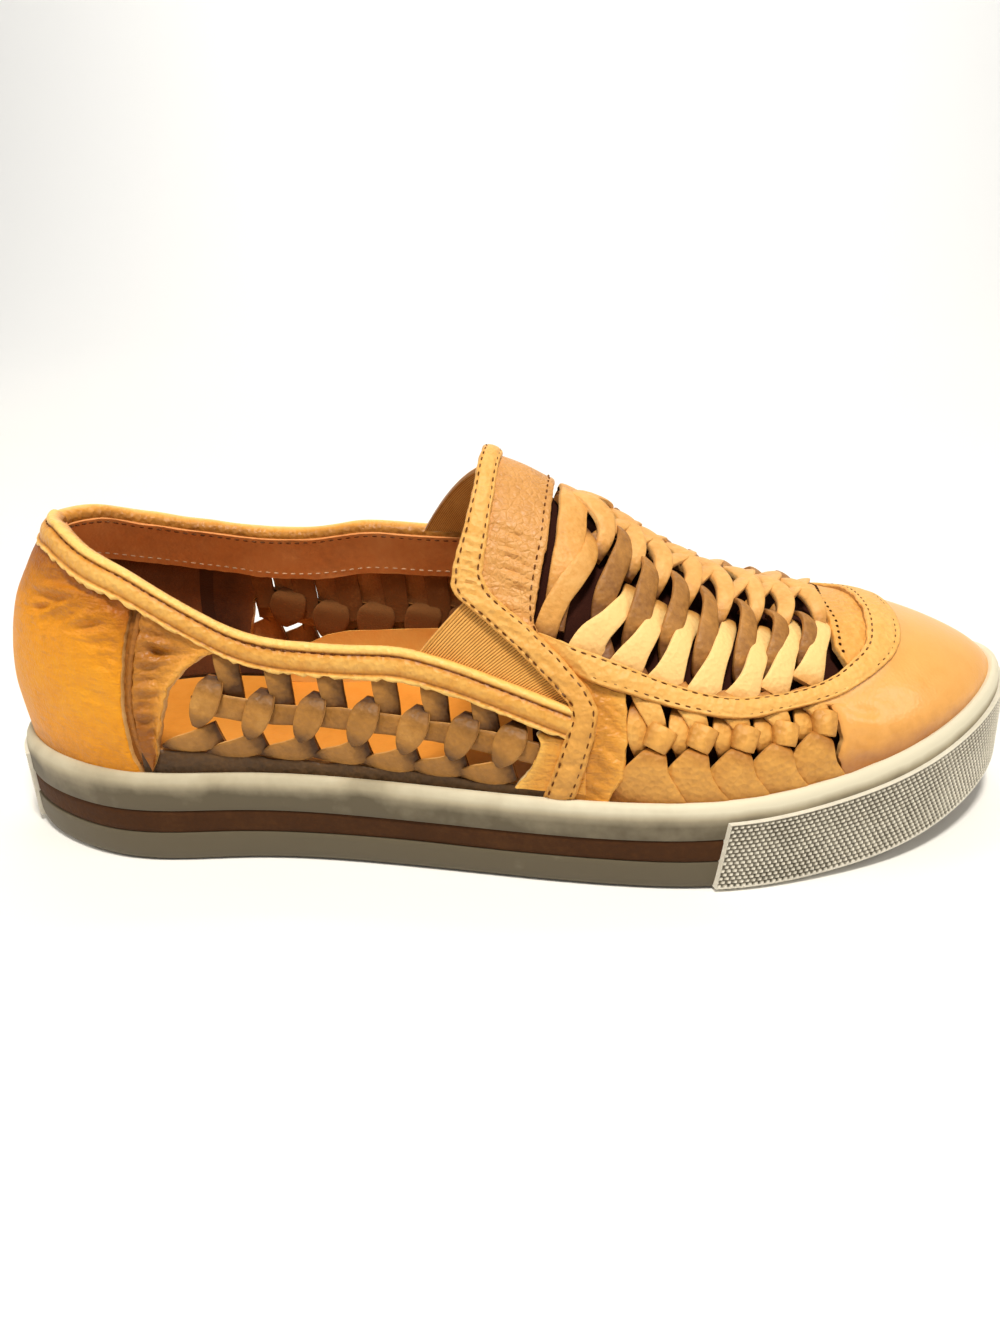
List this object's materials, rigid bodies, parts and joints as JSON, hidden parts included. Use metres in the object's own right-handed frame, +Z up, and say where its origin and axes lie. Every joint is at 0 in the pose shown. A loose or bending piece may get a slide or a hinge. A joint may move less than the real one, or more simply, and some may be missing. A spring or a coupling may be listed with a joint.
{
  "type": "slip-on shoe",
  "caption": "Right slip-on shoe of tan woven leather with a low collar, elastic gores, a stitched apron ring and a flat cream rubber cup sole with a brown side stripe.",
  "frame": {"origin": "on the floor, below the middle of the shoe's box", "axes": "+X to the toe, +Y to the inner side of the foot, +Z up"},
  "size_m": [0.2828, 0.1036, 0.1014],
  "materials": {
    "tan_leather": "satin",
    "rubber": "matte",
    "stripe_leather": "matte",
    "insole_leather": "satin",
    "elastic": "matte"
  },
  "bodies": {
    "root": {"cup_sole": "rubber", "toe_bumper": "rubber", "heel_patch": "rubber", "sole_stripe": "stripe_leather", "insole": "insole_leather", "upper": "tan_leather", "collar_band": "tan_leather", "heel_counter": "tan_leather", "saddle_strap": "tan_leather", "instep_panel": "tan_leather", "apron_ring": "tan_leather", "toe_tab": "tan_leather", "toe_cap": "tan_leather", "gore_outer": "elastic", "gore_inner": "elastic"}
  },
  "joints": []
}
